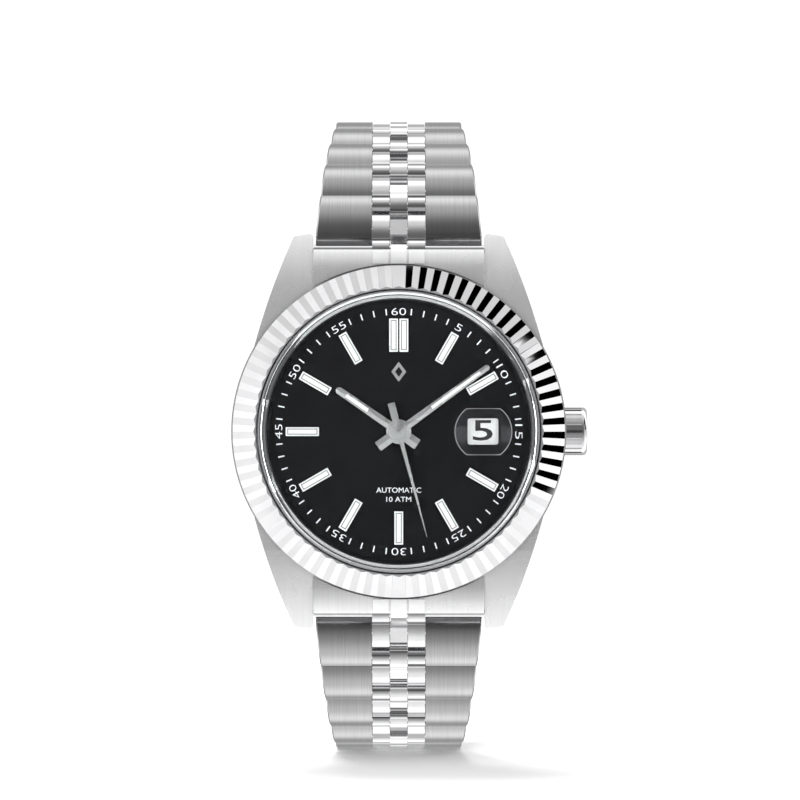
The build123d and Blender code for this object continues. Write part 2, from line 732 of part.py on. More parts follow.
with BuildPart() as winding_stem:
    rod(stem_radius, 8.8, crown_flute_end + 0.25)
    rod(0.95, 9.2, 9.9)
winding_stem.part.label = "winding_stem"
export_step(winding_stem.part, "parts/winding_stem.step")

# ---- End links and the spring bars that hold them between the lugs ----
end_link_top = 7.5
end_link_floor = 2.0
column_inner = small_width / 2 + column_play
column_outer = column_inner + small_width
bar_inside = column_outer + column_play
case_play = 0.05
end_link_half = lug_inner - end_link_play
end_link_fall = (end_link_fall_z, end_link_top - end_link_fall_drop)

for name, top in (("end_link_12", 1), ("end_link_6", -1)):
    with BuildPart() as end_link:
        with BuildSketch(SIDE) as outline:
            with BuildLine():
                Line((top * end_link_back_z, end_link_floor), (top * end_link_back_z, end_link_top))
                Line((top * end_link_back_z, end_link_top), (top * end_link_flat_z, end_link_top))
                ThreePointArc(
                    (top * end_link_flat_z, end_link_top),
                    (top * end_link_fall[0], end_link_fall[1]),
                    (top * (hinge_z + end_radius * cos(radians(30))), hinge_height + end_radius * sin(radians(30))),
                )
                ThreePointArc(
                    (top * (hinge_z + end_radius * cos(radians(30))), hinge_height + end_radius * sin(radians(30))),
                    (top * (hinge_z + end_radius * cos(radians(-30))), hinge_height + end_radius * sin(radians(-30))),
                    (top * hinge_z, hinge_height - end_radius),
                )
                Line((top * hinge_z, hinge_height - end_radius), (top * end_link_back_z, end_link_floor))
            make_face()
        extrude(amount=end_link_half, both=True)
        disc(case_radius + case_play, -1, case_top + 1, mode=Mode.SUBTRACT)
        # Slots for the first row's two knuckles.
        for right in (1, -1):
            with BuildSketch(Plane.YZ.offset(right * (column_inner - column_play))) as slot:
                with Locations((-hinge_height, top * hinge_z)):
                    Circle(knuckle_radius + 0.25)
                    Rectangle(8, 4, align=(Align.CENTER, Align.MIN if top > 0 else Align.MAX))
            extrude(slot.sketch, amount=right * (small_width + 2 * column_play), mode=Mode.SUBTRACT)
        with BuildSketch(Plane.YZ):
            with Locations((-hinge_height, top * hinge_z)):
                Circle(spring_bar_radius)
        extrude(amount=end_link_half + 1, both=True, mode=Mode.SUBTRACT)
    end_link.part.label = name
    export_step(end_link.part, f"parts/{name}.step")

with BuildPart() as lug_spring_bars:
    for top in (1, -1):
        for radius, half_length in (
            (spring_bar_radius, end_link_half),
            (spring_tip_radius, lug_inner + spring_tip_reach),
        ):
            with BuildSketch(Plane.YZ) as outline:
                with Locations((-hinge_height, top * hinge_z)):
                    Circle(radius)
            extrude(outline.sketch, amount=half_length, both=True)
lug_spring_bars.part.label = "lug_spring_bars"
export_step(lug_spring_bars.part, "parts/lug_spring_bars.step")


# ---- Bracelet rows ----
# A row's plane stands on the hinge that it turns about: x runs along the row, y points outwards.
def row_plane(hinge, angle, top):
    """The plane of a row that starts at a hinge and leans back by an angle."""
    lean = radians(angle)
    return Plane(origin=(0, hinge[0], hinge[1]), x_dir=(0, sin(lean), top * cos(lean)), z_dir=(top, 0, 0))


def bar_outline(plane):
    """Side view of an outer bar: hollow round its own hinge, round about the next one."""
    start_radius = end_radius + end_play
    shoulder = 0.6
    foot = (sqrt(start_radius**2 - bar_inner**2), -bar_inner)
    brow = (sqrt(start_radius**2 - shoulder**2), shoulder)
    nose = (pitch + sqrt(end_radius**2 - shoulder**2), shoulder)
    with BuildSketch(plane) as outline:
        with BuildLine():
            ThreePointArc(foot, (start_radius, 0), brow)
            ThreePointArc(brow, ((brow[0] + nose[0]) / 2, bar_crest), nose)
            ThreePointArc(nose, (pitch + end_radius * cos(radians(-30)), end_radius * sin(radians(-30))),
                          (pitch, -bar_inner))
            Line((pitch, -bar_inner), foot)
        make_face()
    return outline.sketch


def side_link_outline(plane, bore):
    """Side view of the two small links that hang on the row's own hinge."""
    far = pitch - knuckle_radius - 0.55
    with BuildSketch(plane) as outline:
        with BuildLine():
            Line((0, -knuckle_radius), (far, -knuckle_radius))
            Line((far, -knuckle_radius), (far, 0.55))
            ThreePointArc((far, 0.55), (far - 0.1, 0.85), (far - 0.4, 1.0))
            ThreePointArc((far - 0.4, 1.0), (far / 2 + 0.35, cap_crest), (1.1, 1.0))
            ThreePointArc((1.1, 1.0), (0.8, 0.85), (0.7, 0.5))
            Line((0.7, 0.5), (0, 0.5))
            Line((0, 0.5), (0, -knuckle_radius))
        make_face()
        Circle(knuckle_radius + bore - pin_radius - hinge_play)
        Circle(bore, mode=Mode.SUBTRACT)
    return outline.sketch


def centre_link_outline(plane):
    """Side view of the middle link: its cap lies over the next hinge."""
    near = pitch - knuckle_radius - 0.6
    far = pitch + end_radius + 0.25
    tie = end_radius + 0.1 * pitch
    with BuildSketch(plane) as outline:
        with BuildLine():
            Line((tie, -knuckle_radius), (pitch, -knuckle_radius))
            ThreePointArc((pitch, -knuckle_radius), (pitch + knuckle_radius * cos(radians(45)),
                          -knuckle_radius * sin(radians(45))), (pitch + knuckle_radius, 0))
            Line((pitch + knuckle_radius, 0), (far, 0.5))
            ThreePointArc((far, 0.5), (far - 0.1, 0.85), (far - 0.4, 1.0))
            ThreePointArc((far - 0.4, 1.0), ((near + far) / 2, cap_crest), (near + 0.4, 1.0))
            ThreePointArc((near + 0.4, 1.0), (near + 0.1, 0.85), (near, 0.5))
            Line((near, 0.5), (near - 0.15, 0.2))
            Line((near - 0.15, 0.2), (tie + 0.2, 0.2))
            Line((tie + 0.2, 0.2), (tie, 0))
            Line((tie, 0), (tie, -knuckle_radius))
        make_face()
    return outline.sketch


def pin(plane, along, lift, radius, half_length, mode=Mode.ADD):
    """Add or cut a cross pin at a place in a row's plane."""
    with BuildSketch(plane) as outline:
        with Locations((along, lift)):
            Circle(radius)
    extrude(outline.sketch, amount=half_length, both=True, mode=mode)


def half_width_at(row):
    """Half the bracelet's width at the start of a row, counted from zero."""
    share = min(row / taper_rows, 1)
    return (bracelet_width + (bracelet_taper_width - bracelet_width) * share) / 2


def bracelet_row(label, plane, row):
    """One row: two outer bars, two side links, a middle link and two pins."""
    near_half = half_width_at(row)
    far_half = half_width_at(row + 1)
    taper = (near_half - far_half) / pitch
    pin_half = far_half - 0.7
    first = row == 0
    bore = (spring_bar_radius if first else pin_radius) + hinge_play
    overhead = Plane(origin=plane.origin, x_dir=plane.x_dir, z_dir=plane.y_dir)

    with BuildPart() as bars:
        extrude(bar_outline(plane), amount=near_half + 1, both=True)
        with BuildSketch(overhead) as footprint:
            for right in (1, -1):
                Polygon((-1, right * bar_inside), (pitch + 3, right * bar_inside),
                        (pitch + 3, right * (far_half - (3 - end_radius) * taper)),
                        (-1, right * (near_half + (1 + end_radius) * taper)), align=None)
        extrude(footprint.sketch, amount=4, both=True, mode=Mode.INTERSECT)
        edges = bars.faces().sort_by(Axis.X)[-1].edges() + bars.faces().sort_by(Axis.X)[0].edges()
        chamfer(edges, length=bar_chamfer)
        pin(plane, pitch, 0, pin_radius, pin_half, mode=Mode.SUBTRACT)
        pin(plane, cross_pin_along, -cross_pin_drop, cross_pin_radius, pin_half, mode=Mode.SUBTRACT)

    with BuildPart() as side_links:
        for right in (1, -1):
            extrude(side_link_outline(plane.offset(right * column_inner), bore), amount=right * small_width)
        pin(plane, cross_pin_along, -cross_pin_drop, cross_pin_radius, pin_half, mode=Mode.SUBTRACT)

    with BuildPart() as middle_link:
        extrude(centre_link_outline(plane), amount=small_width / 2, both=True)
        pin(plane, pitch, 0, pin_radius, pin_half, mode=Mode.SUBTRACT)
        pin(plane, cross_pin_along, -cross_pin_drop, cross_pin_radius, pin_half, mode=Mode.SUBTRACT)

    with BuildPart() as pins:
        pin(plane, pitch, 0, pin_radius, pin_half)
        pin(plane, cross_pin_along, -cross_pin_drop, cross_pin_radius, pin_half)

    return together(label, bars.part, side_links.part, middle_link.part, pins.part)


chain_ends = {}
for side, top, angles in (("upper", 1, upper_angles), ("lower", -1, lower_angles)):
    hinge = (-hinge_height, top * hinge_z)
    for row, angle in enumerate(angles):
        name = f"{side}_link_{row + 1:02d}"
        link = bracelet_row(name, row_plane(hinge, angle, top), row)
        export_step(link, f"parts/{name}.step")
        hinge = (hinge[0] + pitch * sin(radians(angle)), hinge[1] + top * pitch * cos(radians(angle)))
        print(f"joint {side}_link_{row + 1:02d} ends at y {hinge[0]:.4f} z {hinge[1]:.4f}")
    chain_ends[side] = hinge

# ---- Folding clasp ----
# Its plane stands on the lower chain's last hinge: x runs to the upper chain's last hinge, y points outwards.
low_hinge = chain_ends["lower"]
high_hinge = chain_ends["upper"]
chord = hypot(high_hinge[0] - low_hinge[0], high_hinge[1] - low_hinge[1])
clasp_plane = Plane(
    origin=(0, low_hinge[0], low_hinge[1]),
    x_dir=(0, (high_hinge[0] - low_hinge[0]) / chord, (high_hinge[1] - low_hinge[1]) / chord),
    z_dir=(-1, 0, 0),
)
clasp_half_angle = asin(chord / 2 / clasp_curve)
clasp_length = 2 * clasp_half_angle * clasp_curve


def on_clasp(along, lift):
    """A point of the clasp's plane, at a length along its curve and a height above it."""
    turn = along / clasp_curve - clasp_half_angle
    radius = clasp_curve + lift
    return (chord / 2 + radius * sin(turn), radius * cos(turn) - clasp_curve * cos(clasp_half_angle))


def strip(start, end, low, high):
    """Side view of a curved plate that follows the clasp's curve."""
    middle = (start + end) / 2
    with BuildSketch(clasp_plane) as outline:
        with BuildLine():
            ThreePointArc(on_clasp(start, low), on_clasp(middle, low), on_clasp(end, low))
            ThreePointArc(on_clasp(start, high), on_clasp(middle, high), on_clasp(end, high))
            Line(on_clasp(start, low), on_clasp(start, high))
            Line(on_clasp(end, low), on_clasp(end, high))
        make_face()
    return outline.sketch


def band(start, end, low, high, half_width, mode=Mode.ADD):
    """Add or cut a curved plate, centred across the clasp."""
    extrude(strip(start, end, low, high), amount=half_width, both=True, mode=mode)


def barrel_hinge(along, lift, radius, inner, outer, mode=Mode.ADD):
    """Add or cut a hinge tube on both sides of the clasp's middle; inner is zero for one tube across."""
    for right in (1, -1):
        with BuildSketch(clasp_plane.offset(right * inner)) as outline:
            with Locations(on_clasp(along, lift)):
                Circle(radius)
        extrude(outline.sketch, amount=right * (outer - inner), mode=mode)


cover_half = clasp_width / 2
cover_inside = cover_half - clasp_wall
outer_pin_at = clasp_length - outer_blade_pin_inset
inner_pin_at = inner_blade_pin_inset
blade_half = cover_inside - blade_side_play
inner_blade_half = blade_half - 1.9

with BuildPart() as cover:
    band(cover_low_inset, clasp_length - cover_high_inset, clasp_lift, clasp_lift + clasp_plate, cover_half)
    band(cover_low_inset, clasp_length - cover_high_inset, -cover_side_drop, clasp_lift, cover_half)
    band(2.9, clasp_length + 1, -2, clasp_lift, cover_inside, mode=Mode.SUBTRACT)
    fillet(cover.edges().filter_by(lambda e: e.length > 20).sort_by(SortBy.RADIUS)[-2:], radius=0.5)
    barrel_hinge(0, 0, end_radius + end_play, 0, cover_half + 1, mode=Mode.SUBTRACT)
    barrel_hinge(0, 0, 2.25, 0, column_inner, mode=Mode.SUBTRACT)
    barrel_hinge(clasp_length, 0, end_radius + end_play, 0, cover_half + 1, mode=Mode.SUBTRACT)
    barrel_hinge(clasp_length, 0, 2.25, 0, column_inner, mode=Mode.SUBTRACT)
    for right in (1, -1):
        with BuildSketch(clasp_plane.offset(right * column_inner)) as knuckles:
            Circle(knuckle_radius)
            Polygon((0, -0.6), (2.4, -0.3), (2.4, 1.2), (0, 0.9), align=None)
            Circle(pin_radius + hinge_play, mode=Mode.SUBTRACT)
        extrude(knuckles.sketch, amount=right * small_width)
    barrel_hinge(outer_pin_at, 0, blade_pin_radius, cover_inside - 1, cover_half + 1, mode=Mode.SUBTRACT)

with BuildPart() as cover_pin:
    barrel_hinge(outer_pin_at, 0, blade_pin_radius, 0, cover_half)

catch_pin_at = clasp_length - 13.0
catch_lift = clasp_lift + clasp_plate + 0.85
catch_half = 3.4

with BuildPart() as catch_posts:
    for right in (1, -1):
        with BuildSketch(clasp_plane.offset(right * (catch_half + 0.1))) as post:
            with Locations(on_clasp(catch_pin_at, catch_lift)):
                Circle(0.7)
            Polygon(on_clasp(catch_pin_at - 0.7, catch_lift), on_clasp(catch_pin_at + 0.7, catch_lift),
                    on_clasp(catch_pin_at + 0.7, clasp_lift + 0.3), on_clasp(catch_pin_at - 0.7, clasp_lift + 0.3),
                    align=None)
        extrude(post.sketch, amount=right * 0.9)
    barrel_hinge(catch_pin_at, catch_lift, 0.3, 0, catch_half + 0.6)

with BuildPart() as clasp_cover:
    add(cover.part)
    add(catch_posts.part)
clasp_cover_node = together("clasp_cover", clasp_cover.part, cover_pin.part)
export_step(clasp_cover_node, "parts/clasp_cover.step")

with BuildPart() as outer_blade:
    band(inner_pin_at, outer_pin_at, 0.1, 0.1 + blade_thickness, blade_half)
    barrel_hinge(outer_pin_at, 0, blade_knuckle, 0, blade_half)
    barrel_hinge(inner_pin_at, 0, blade_knuckle, inner_blade_half + 0.1, blade_half)
    barrel_hinge(inner_pin_at, 0, blade_knuckle + 0.2, 0, inner_blade_half + 0.1, mode=Mode.SUBTRACT)
    barrel_hinge(outer_pin_at, 0, blade_pin_radius + hinge_play, 0, blade_half + 1, mode=Mode.SUBTRACT)
    barrel_hinge(inner_pin_at, 0, blade_pin_radius, 0, blade_half + 1, mode=Mode.SUBTRACT)

with BuildPart() as outer_blade_pin:
    barrel_hinge(inner_pin_at, 0, blade_pin_radius, 0, blade_half)
outer_blade_node = together("clasp_outer_blade", outer_blade.part, outer_blade_pin.part)
export_step(outer_blade_node, "parts/clasp_outer_blade.step")

with BuildPart() as clasp_inner_blade:
    band(inner_pin_at + 0.4, outer_pin_at + 0.4, -1.0 - blade_thickness, -1.0, inner_blade_half)
    barrel_hinge(inner_pin_at, 0, blade_knuckle, 0, inner_blade_half)
    with BuildSketch(clasp_plane) as web:
        Polygon(on_clasp(inner_pin_at - 0.6, -0.5), on_clasp(inner_pin_at + 0.7, -0.4),
                on_clasp(inner_pin_at + 2.0, -1.0), on_clasp(inner_pin_at + 0.6, -1.0 - blade_thickness),
                align=None)
    extrude(web.sketch, amount=inner_blade_half, both=True)
    barrel_hinge(inner_pin_at, 0, blade_pin_radius + hinge_play, 0, inner_blade_half + 1, mode=Mode.SUBTRACT)
clasp_inner_blade.part.label = "clasp_inner_blade"
export_step(clasp_inner_blade.part, "parts/clasp_inner_blade.step")

with BuildPart() as safety_catch:
    band(catch_pin_at, clasp_length - 1.6, catch_lift - 0.1, catch_lift + 0.6, catch_half)
    barrel_hinge(catch_pin_at, catch_lift, 0.7, 0, catch_half)
    barrel_hinge(catch_pin_at, catch_lift, 0.3 + hinge_play, 0, catch_half + 1, mode=Mode.SUBTRACT)
safety_catch.part.label = "safety_catch"
export_step(safety_catch.part, "parts/safety_catch.step")

outer_pin = clasp_plane.from_local_coords((*on_clasp(outer_pin_at, 0), 0))
inner_pin = clasp_plane.from_local_coords((*on_clasp(inner_pin_at, 0), 0))
catch_pin = clasp_plane.from_local_coords((*on_clasp(catch_pin_at, catch_lift), 0))
for label, place in (("outer blade", outer_pin), ("inner blade", inner_pin), ("safety catch", catch_pin)):
    print(f"pin of {label}: y {place.Y:.4f} z {place.Z:.4f}")
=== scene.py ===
import bpy
from math import cos, hypot, pi, radians, sin
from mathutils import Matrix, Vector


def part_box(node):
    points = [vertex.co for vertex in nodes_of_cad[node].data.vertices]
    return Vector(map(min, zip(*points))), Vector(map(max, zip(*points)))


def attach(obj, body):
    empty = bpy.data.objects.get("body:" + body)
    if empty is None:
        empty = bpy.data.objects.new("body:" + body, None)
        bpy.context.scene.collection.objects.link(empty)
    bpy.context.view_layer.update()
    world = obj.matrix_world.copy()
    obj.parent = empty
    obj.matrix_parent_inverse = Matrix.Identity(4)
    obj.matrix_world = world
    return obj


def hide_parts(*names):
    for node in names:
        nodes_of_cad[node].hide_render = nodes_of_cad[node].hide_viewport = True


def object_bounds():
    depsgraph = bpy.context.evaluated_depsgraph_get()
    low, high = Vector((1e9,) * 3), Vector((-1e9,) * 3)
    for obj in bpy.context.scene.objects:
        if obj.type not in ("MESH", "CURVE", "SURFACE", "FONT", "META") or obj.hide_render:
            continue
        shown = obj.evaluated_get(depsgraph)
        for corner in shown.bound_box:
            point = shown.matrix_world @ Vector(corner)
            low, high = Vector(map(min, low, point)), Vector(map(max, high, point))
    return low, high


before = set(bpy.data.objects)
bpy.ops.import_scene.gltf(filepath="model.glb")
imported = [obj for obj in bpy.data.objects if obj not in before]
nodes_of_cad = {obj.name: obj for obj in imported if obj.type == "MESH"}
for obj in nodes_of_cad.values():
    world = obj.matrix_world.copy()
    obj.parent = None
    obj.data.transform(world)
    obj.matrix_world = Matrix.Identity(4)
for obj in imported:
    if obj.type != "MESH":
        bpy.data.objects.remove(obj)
cad_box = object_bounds()

# A steel wristwatch on its closed bracelet. The dial faces -Y and twelve o'clock is +Z.
# "Height" is the distance forward from the case back's outer face, which is along -Y.
MM = 0.001


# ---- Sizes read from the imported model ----

def height_of(node):
    """Lowest and highest height of a node, forward from the case back."""
    low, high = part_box(node)
    return -high[1], -low[1]


dial_face = height_of("dial")[1]
marker_top = height_of("hour_markers")[1]
hour_hand_back, hour_hand_face = height_of("hour_hand")
minute_hand_back, minute_hand_face = height_of("minute_hand")
seconds_hand_back, seconds_hand_face = height_of("seconds_hand")
crystal_back, crystal_face = height_of("crystal")
crystal_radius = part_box("crystal")[1][0]
magnifier_low, magnifier_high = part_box("date_magnifier")
magnifier_middle = (magnifier_high[0] + magnifier_low[0]) / 2
date_disc_face = height_of("date_disc")[1]
floor_level = cad_box[0][2]


# ---- Sizes of the dial's own drawing ----

HOUR_ANGLE = 304.5
MINUTE_ANGLE = 54.0
SECOND_ANGLE = 165.0
DATE_WINDOW_X = 10.15 * MM
TRACK_RADIUS = 14.45 * MM
TICK_LENGTH = 0.75 * MM
TICK_WIDTH = 0.145 * MM
MARKER_RADIUS = 11.6 * MM
TWIN_MARKER_OFFSET = 0.62 * MM
PRINT_THICKNESS = 0.02 * MM
LUME_PROUD = 0.13 * MM
# The bars in an hour marker start this far below its face.
BAR_SINK = 0.02 * MM
# Places nearer to each other than this count as one.
SAME_PLACE = 1e-7


# ---- Small workshop helpers ----

def clear_selection():
    """Leave edit mode and select nothing."""
    if bpy.context.mode != "OBJECT":
        bpy.ops.object.mode_set(mode="OBJECT")
    bpy.ops.object.select_all(action="DESELECT")


def pick(piece):
    """Select one piece alone and make it the active one."""
    clear_selection()
    piece.select_set(True)
    bpy.context.view_layer.objects.active = piece


def bake_place(piece):
    """Put a piece's place, turn and size into its mesh."""
    pick(piece)
    bpy.ops.object.transform_apply(location=True, rotation=True, scale=True)


def join(name, pieces):
    """Join finished pieces into one with a name."""
    clear_selection()
    for piece in pieces:
        piece.select_set(True)
    bpy.context.view_layer.objects.active = pieces[0]
    if len(pieces) > 1:
        bpy.ops.object.join()
    whole = bpy.context.view_layer.objects.active
    whole.name = name
    whole.data.name = name
    return whole


def apply_modifiers(piece):
    """Apply every modifier of a piece, in order."""
    pick(piece)
    for modifier in list(piece.modifiers):
        bpy.ops.object.modifier_apply(modifier=modifier.name)


def bevel(piece, width, segments=2, angle=30.0):
    """Round the sharp edges of a piece."""
    rounding = piece.modifiers.new("Bevel", "BEVEL")
    rounding.width = width
    rounding.segments = segments
    rounding.limit_method = "ANGLE"
    rounding.angle_limit = radians(angle)
    apply_modifiers(piece)


def smooth(piece, angle=35.0):
    """Shade a piece smooth, except over edges sharper than an angle."""
    pick(piece)
    bpy.ops.object.shade_smooth_by_angle(angle=radians(angle))


def finish_piece(piece, finish, body):
    """Give a piece its finish and tie it to the body that carries it."""
    piece.data.materials.clear()
    piece.data.materials.append(finish)
    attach(piece, body)
    return piece


def on_dial(radius, angle, height):
    """A point over the dial, at an angle clockwise from twelve."""
    turn = radians(angle)
    return (radius * sin(turn), -height, radius * cos(turn))


def dial_bar(length, width, back, face, radius, angle, sideways=0.0):
    """A bar that lies on the dial along a radius."""
    turn = radians(angle)
    x, y, z = on_dial(radius, angle, (back + face) / 2)
    place = (x + sideways * cos(turn), y, z - sideways * sin(turn))
    bpy.ops.mesh.primitive_cube_add(size=1, location=place, rotation=(0, turn, 0))
    bar = bpy.context.active_object
    bar.scale = (width, face - back, length)
    bake_place(bar)
    return bar


def lettering(words, high, wide, height, radius=0.0, angle=0.0, at=None, weight=0.0):
    """Numbers or plain words, cut as a flat plate of a given size; weight makes its strokes bolder."""
    clear_selection()
    bpy.ops.object.text_add(location=(0, 0, 0))
    piece = bpy.context.active_object
    piece.data.body = words
    piece.data.size = high
    piece.data.align_x = "CENTER"
    piece.data.align_y = "CENTER"
    piece.data.extrude = PRINT_THICKNESS / 2
    piece.data.offset = weight
    piece.data.resolution_u = 3
    pick(piece)
    bpy.ops.object.convert(target="MESH")
    piece = bpy.context.active_object
    bpy.ops.object.origin_set(type="ORIGIN_GEOMETRY", center="BOUNDS")
    piece.scale = (wide / piece.dimensions.x, high / piece.dimensions.y, 1)
    piece.rotation_euler = (pi / 2, radians(angle), 0)
    piece.location = on_dial(radius, angle, height + PRINT_THICKNESS / 2) if at is None else at
    bake_place(piece)
    return piece


# ---- Finishes ----

def new_finish(name):
    """A new finish and the parts of its node tree."""
    finish = bpy.data.materials.new(name)
    finish.use_nodes = True
    tree = finish.node_tree
    return finish, tree.nodes, tree.links, tree.nodes["Principled BSDF"]


def grain(nodes, links, stretch, detail=3.0):
    """Noise over the piece, stretched by a scale for each axis, in waves a metre."""
    place = nodes.new("ShaderNodeTexCoord")
    mapping = nodes.new("ShaderNodeMapping")
    mapping.inputs["Scale"].default_value = stretch
    noise = nodes.new("ShaderNodeTexNoise")
    noise.inputs["Scale"].default_value = 1.0
    noise.inputs["Detail"].default_value = detail
    links.new(place.outputs["Object"], mapping.inputs["Vector"])
    links.new(mapping.outputs["Vector"], noise.inputs["Vector"])
    return noise.outputs["Fac"]


def spread(nodes, links, value, low, high, start=0.3, end=0.7):
    """Map noise onto a range of values."""
    ranged = nodes.new("ShaderNodeMapRange")
    ranged.inputs["From Min"].default_value = start
    ranged.inputs["From Max"].default_value = end
    ranged.inputs["To Min"].default_value = low
    ranged.inputs["To Max"].default_value = high
    links.new(value, ranged.inputs["Value"])
    return ranged.outputs["Result"]


def two_colours(nodes, links, value, low, high):
    """Mix two colours by a value."""
    mix = nodes.new("ShaderNodeMix")
    mix.data_type = "RGBA"
    mix.inputs["A"].default_value = (*low, 1)
    mix.inputs["B"].default_value = (*high, 1)
    links.new(value, mix.inputs["Factor"])
    return mix.outputs["Result"]


def relief(nodes, links, value, shader, depth):
    """Raise the surface by a value."""
    bump = nodes.new("ShaderNodeBump")
    bump.inputs["Strength"].default_value = 1.0
    bump.inputs["Distance"].default_value = depth
    links.new(value, bump.inputs["Height"])
    links.new(bump.outputs["Normal"], shader.inputs["Normal"])


def metal(name, dark, light, smoothness, stretch, depth, bare=1.0):
    """A metal whose colour and relief follow one grain; bare falls as frosting scatters more of the light."""
    finish, nodes, links, shader = new_finish(name)
    shader.inputs["Metallic"].default_value = bare
    lines = grain(nodes, links, stretch)
    colour = two_colours(nodes, links, spread(nodes, links, lines, 0, 1), dark, light)
    links.new(colour, shader.inputs["Base Color"])
    cloud = grain(nodes, links, (160, 160, 160), 2.0)
    links.new(spread(nodes, links, cloud, smoothness[0], smoothness[1]), shader.inputs["Roughness"])
    relief(nodes, links, lines, shader, depth)
    return finish


satin_steel = metal(
    "satin_steel", (0.42, 0.42, 0.425), (0.49, 0.49, 0.495), (0.18, 0.24),
    stretch=(16000, 120, 120), depth=0.0000003)
frosted_steel = metal(
    "frosted_steel", (0.74, 0.74, 0.745), (0.80, 0.80, 0.805), (0.24, 0.30),
    stretch=(9000, 120, 120), depth=0.0000003, bare=0.70)
polished_steel = metal(
    "polished_steel", (0.76, 0.76, 0.77), (0.82, 0.82, 0.83), (0.04, 0.08),
    stretch=(700, 700, 700), depth=0.0000002)
mirror_steel = metal(
    "mirror_steel", (0.80, 0.80, 0.81), (0.85, 0.85, 0.86), (0.02, 0.05),
    stretch=(500, 500, 500), depth=0.0000001)
bright_steel = metal(
    "bright_steel", (0.84, 0.84, 0.845), (0.90, 0.90, 0.905), (0.10, 0.16),
    stretch=(700, 700, 700), depth=0.0000002, bare=0.6)
# Painted shade: a dark steel that stands for the dark line of shade between the bezel's inner ring and its
# flutes.
ring_wall_shade_steel = metal(
    "ring_wall_shade_steel", (0.20, 0.20, 0.205), (0.28, 0.28, 0.285), (0.30, 0.40),
    stretch=(6000, 6000, 6000), depth=0.0000003)
hand_steel = metal(
    "hand_steel", (0.36, 0.36, 0.36), (0.42, 0.42, 0.42), (0.22, 0.30),
    stretch=(3000, 3000, 3000), depth=0.0000003, bare=0.7)
marker_steel = metal(
    "marker_steel", (0.88, 0.88, 0.88), (0.93, 0.93, 0.93), (0.22, 0.30),
    stretch=(2600, 2600, 2600), depth=0.0000003, bare=0.25)
emblem_steel = metal(
    "emblem_steel", (0.60, 0.60, 0.60), (0.68, 0.68, 0.68), (0.16, 0.24),
    stretch=(2600, 2600, 2600), depth=0.0000003, bare=0.7)
plated_movement = metal(
    "plated_movement", (0.58, 0.58, 0.57), (0.70, 0.70, 0.68), (0.22, 0.34),
    stretch=(300, 300, 5200), depth=0.000002)
gilt_brass = metal(
    "gilt_brass", (0.72, 0.52, 0.24), (0.82, 0.63, 0.32), (0.20, 0.30),
    stretch=(4200, 4200, 4200), depth=0.000001)


def lacquer(name, dark, light, gloss, speckle, depth, shine=0.4):
    """A painted surface with fine speckle."""
    finish, nodes, links, shader = new_finish(name)
    dots = grain(nodes, links, (speckle, speckle, speckle), 4.0)
    colour = two_colours(nodes, links, spread(nodes, links, dots, 0, 1), dark, light)
    links.new(colour, shader.inputs["Base Color"])
    links.new(spread(nodes, links, dots, gloss[0], gloss[1]), shader.inputs["Roughness"])
    shader.inputs["Specular IOR Level"].default_value = shine
    relief(nodes, links, dots, shader, depth)
    return finish


dial_black = lacquer(
    "dial_black", (0.006, 0.006, 0.0065), (0.009, 0.009, 0.0097), (0.36, 0.46),
    speckle=9000, depth=0.0000003, shine=0.06)
date_white = lacquer(
    "date_white", (0.62, 0.62, 0.62), (0.68, 0.68, 0.68), (0.45, 0.55), speckle=5000, depth=0.000001)
print_white = lacquer(
    "print_white", (0.72, 0.73, 0.76), (0.86, 0.87, 0.90), (0.45, 0.60), speckle=12000, depth=0.000001)
print_black = lacquer(
    "print_black", (0.008, 0.008, 0.008), (0.02, 0.02, 0.02), (0.45, 0.60), speckle=12000, depth=0.000001)
lume_white = lacquer(
    "lume_white", (0.70, 0.71, 0.70), (0.78, 0.79, 0.78), (0.55, 0.70), speckle=7000, depth=0.000003)
nylon_white = lacquer(
    "nylon_white", (0.28, 0.28, 0.29), (0.34, 0.34, 0.35), (0.25, 0.35), speckle=2500, depth=0.000001)
# Painted shade: a flat grey that stands for the shaded groove between a marker's steel frame and its lume.
painted_groove_shade = lacquer(
    "painted_groove_shade", (0.18, 0.18, 0.18), (0.24, 0.24, 0.24), (0.45, 0.60), speckle=9000, depth=0.000001)
ground_edge = lacquer(
    "ground_edge", (0.30, 0.31, 0.32), (0.42, 0.43, 0.44), (0.40, 0.55), speckle=6000, depth=0.000001)
rubber_black = lacquer(
    "rubber_black", (0.015, 0.015, 0.015), (0.04, 0.04, 0.04), (0.60, 0.80), speckle=4000, depth=0.000002)


def clear_sapphire(name, gloss):
    """Coated sapphire: it bends what is behind it, reflects faintly and lets lamp light through.

    A larger gloss makes its reflection stronger."""
    finish, nodes, links, shader = new_finish(name)
    nodes.remove(shader)
    bend = nodes.new("ShaderNodeBsdfRefraction")
    bend.inputs["Color"].default_value = (0.97, 0.98, 0.98, 1)
    bend.inputs["Roughness"].default_value = 0.0
    bend.inputs["IOR"].default_value = 1.62
    gleam = nodes.new("ShaderNodeBsdfGlossy")
    gleam.inputs["Color"].default_value = (0.92, 0.94, 1.0, 1)
    haze = grain(nodes, links, (90, 90, 90), 2.0)
    links.new(spread(nodes, links, haze, 0.0, 0.03), gleam.inputs["Roughness"])
    edge = nodes.new("ShaderNodeFresnel")
    edge.inputs["IOR"].default_value = gloss
    coated = nodes.new("ShaderNodeMixShader")
    links.new(edge.outputs["Fac"], coated.inputs["Fac"])
    links.new(bend.outputs["BSDF"], coated.inputs[1])
    links.new(gleam.outputs["BSDF"], coated.inputs[2])
    open_way = nodes.new("ShaderNodeBsdfTransparent")
    path = nodes.new("ShaderNodeLightPath")
    mix = nodes.new("ShaderNodeMixShader")
    links.new(path.outputs["Is Shadow Ray"], mix.inputs["Fac"])
    links.new(coated.outputs["Shader"], mix.inputs[1])
    links.new(open_way.outputs["BSDF"], mix.inputs[2])
    links.new(mix.outputs["Shader"], nodes["Material Output"].inputs["Surface"])
    return finish


